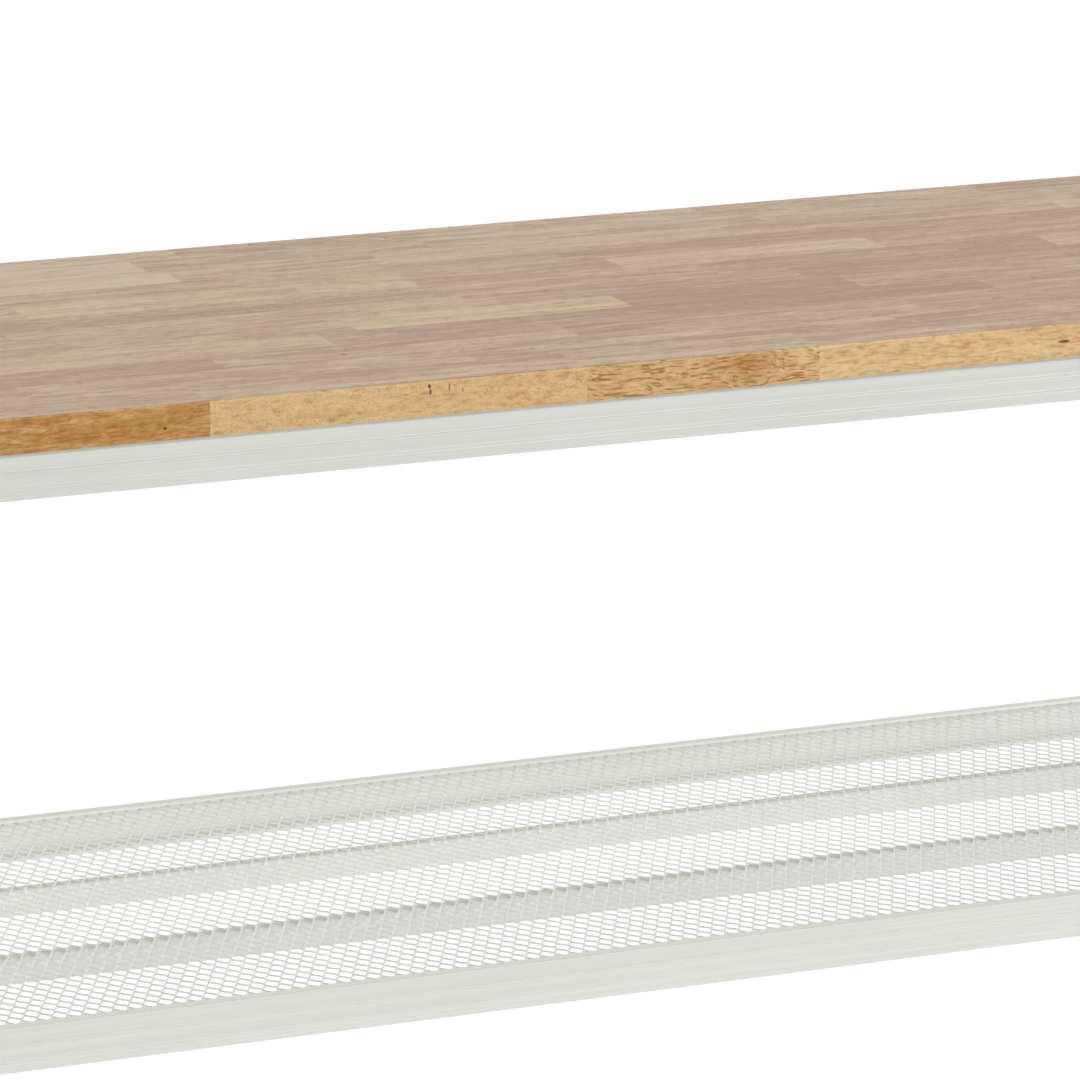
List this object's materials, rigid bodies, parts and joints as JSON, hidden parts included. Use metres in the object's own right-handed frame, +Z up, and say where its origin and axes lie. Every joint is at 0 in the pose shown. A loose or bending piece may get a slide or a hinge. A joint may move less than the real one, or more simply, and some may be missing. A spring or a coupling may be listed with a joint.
{
  "type": "entryway bench",
  "caption": "Long bench with a glued wood seat board on a white ribbed steel frame, an open mesh shelf below and levelling feet.",
  "frame": {"origin": "on the floor under the middle of the bench", "axes": "+X along the bench to the right seen from the front, +Y towards the back, +Z up"},
  "size_m": [1.1, 0.36, 0.45],
  "materials": {
    "rubberwood": "satin lacquered finger-jointed staves",
    "frame_paint": "white satin powder coat",
    "deck_paint": "white satin powder coat over expanded metal",
    "bolt_steel": "white coated button-head bolt",
    "zinc_steel": "bright zinc plate",
    "foot_plastic": "dark grey moulded plastic"
  },
  "bodies": {
    "frame": {"back_left_leg": "frame_paint", "back_left_leg_plug": "foot_plastic", "back_right_leg": "frame_paint", "back_right_leg_plug": "foot_plastic", "board_screws": "zinc_steel", "board_tab_back_left": "frame_paint", "board_tab_back_middle": "frame_paint", "board_tab_back_right": "frame_paint", "board_tab_front_left": "frame_paint", "board_tab_front_middle": "frame_paint", "board_tab_front_right": "frame_paint", "front_left_leg": "frame_paint", "front_left_leg_plug": "foot_plastic", "front_right_leg": "frame_paint", "front_right_leg_plug": "foot_plastic", "leg_bolts": "bolt_steel", "leg_rivet_nuts": "zinc_steel", "seat_back_rail": "frame_paint", "seat_board": "rubberwood", "seat_front_rail": "frame_paint", "seat_left_rail": "frame_paint", "seat_right_rail": "frame_paint", "shelf_back_rail": "frame_paint", "shelf_back_support": "frame_paint", "shelf_front_rail": "frame_paint", "shelf_front_support": "frame_paint", "shelf_left_rail": "frame_paint", "shelf_mesh": "deck_paint", "shelf_right_rail": "frame_paint"},
    "front_left_foot": {"front_left_foot_stem": "zinc_steel", "front_left_foot_pad": "foot_plastic"},
    "front_right_foot": {"front_right_foot_stem": "zinc_steel", "front_right_foot_pad": "foot_plastic"},
    "back_left_foot": {"back_left_foot_stem": "zinc_steel", "back_left_foot_pad": "foot_plastic"},
    "back_right_foot": {"back_right_foot_stem": "zinc_steel", "back_right_foot_pad": "foot_plastic"}
  },
  "joints": [
    {"name": "front_left_foot_screw", "type": "slide", "parent": "frame", "child": "front_left_foot", "axis": [0, 0, -1], "range_m": [0, 0.01]},
    {"name": "front_right_foot_screw", "type": "slide", "parent": "frame", "child": "front_right_foot", "axis": [0, 0, -1], "range_m": [0, 0.01]},
    {"name": "back_left_foot_screw", "type": "slide", "parent": "frame", "child": "back_left_foot", "axis": [0, 0, -1], "range_m": [0, 0.01]},
    {"name": "back_right_foot_screw", "type": "slide", "parent": "frame", "child": "back_right_foot", "axis": [0, 0, -1], "range_m": [0, 0.01]}
  ]
}
